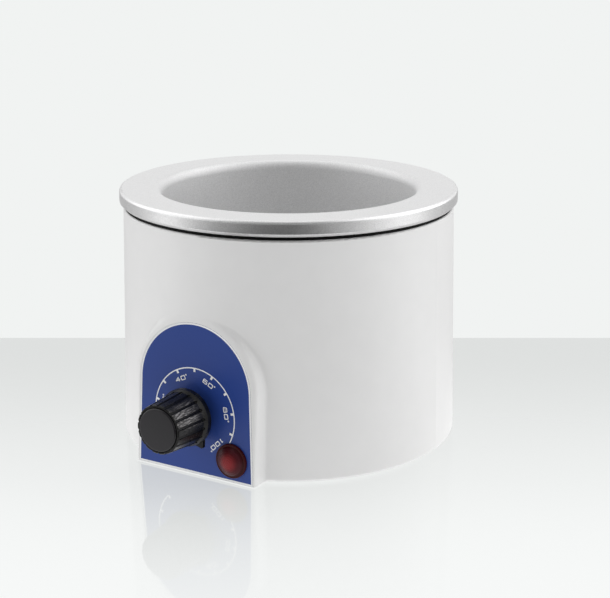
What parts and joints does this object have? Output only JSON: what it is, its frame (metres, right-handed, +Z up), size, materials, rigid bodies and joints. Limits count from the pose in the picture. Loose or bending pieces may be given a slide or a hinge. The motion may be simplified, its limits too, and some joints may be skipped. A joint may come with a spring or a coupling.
{
  "type": "wax warmer",
  "caption": "Wax warmer: wide-rimmed silver pot in a white tapered housing, with an arched blue dial panel, black pointer knob, red lamp and rear mains inlet.",
  "frame": {"origin": "on the pot's axis, in the plane that the four feet rest on", "axes": "+Z up along the pot's axis; the dial panel faces -Y; +X is to the right as seen from the front"},
  "size_m": [0.1546, 0.1847, 0.114],
  "materials": {
    "white_shell": "satin gloss",
    "plate_steel": "zinc plated sheet",
    "foot_rubber": "matte",
    "silver_pot": "satin silver with a fine sparkle",
    "seal_rubber": "matte",
    "heater_sheath": "dull sheet",
    "brass_tabs": "tinned brass",
    "glass_fibre": "matte felt",
    "cutout_ceramic": "matte",
    "copper_bulb": "bare copper",
    "thermostat_shell": "moulded phenolic",
    "blue_label": "printed film",
    "knob_black": "satin",
    "cap_grey": "matte",
    "brass_insert": "turned",
    "lamp_red": "deep red, clear",
    "barrel_black": "matte",
    "bulb_glass": "clear",
    "inlet_black": "matte",
    "wire_brown": "satin",
    "wire_black": "satin",
    "wire_blue": "satin",
    "wire_green": "satin",
    "lead_white": "satin",
    "zinc_steel": "zinc plated"
  },
  "bodies": {
    "warmer": {"housing": "white_shell", "base_plate": "plate_steel", "rubber_feet": "foot_rubber", "well_pot": "silver_pot", "rim_seal": "seal_rubber", "heater_band": "heater_sheath", "heater_terminals": "brass_tabs", "insulation_jacket": "glass_fibre", "thermal_cutout": "cutout_ceramic", "cutout_tabs": "brass_tabs", "sensing_bulb": "copper_bulb", "capillary_tube": "copper_bulb", "thermostat_body": "thermostat_shell", "thermostat_tabs": "brass_tabs", "label_plate": "blue_label", "lamp_lens": "lamp_red", "lamp_body": "barrel_black", "neon_bulb": "bulb_glass", "inlet_body": "inlet_black", "inlet_pins": "brass_insert", "earth_tag": "brass_tabs", "live_wire": "wire_brown", "switched_wire": "wire_black", "heater_wire": "wire_black", "neutral_wire": "wire_blue", "earth_wire": "wire_green", "lamp_leads": "lead_white", "base_screws": "zinc_steel", "well_studs": "zinc_steel", "well_pillars": "zinc_steel", "pillar_screws": "zinc_steel", "heater_straps": "zinc_steel", "strap_screws": "zinc_steel", "cutout_clip": "zinc_steel", "bulb_clip": "zinc_steel", "clip_studs": "zinc_steel", "clip_nuts": "zinc_steel", "thermostat_screws": "zinc_steel", "lamp_nut": "zinc_steel", "inlet_screws": "zinc_steel", "inlet_nuts": "zinc_steel", "earth_stud": "zinc_steel", "earth_nut": "zinc_steel"},
    "knob": {"knob": "knob_black", "knob_cap": "cap_grey", "knob_insert": "brass_insert", "grub_screw": "zinc_steel", "thermostat_spindle": "zinc_steel"}
  },
  "joints": [
    {"name": "knob_turn", "type": "hinge", "parent": "warmer", "child": "knob", "pos_m": [0, -0.07737, 0.02789], "axis": [0, -0.9995, 0.03], "range_deg": [0, 276]}
  ]
}
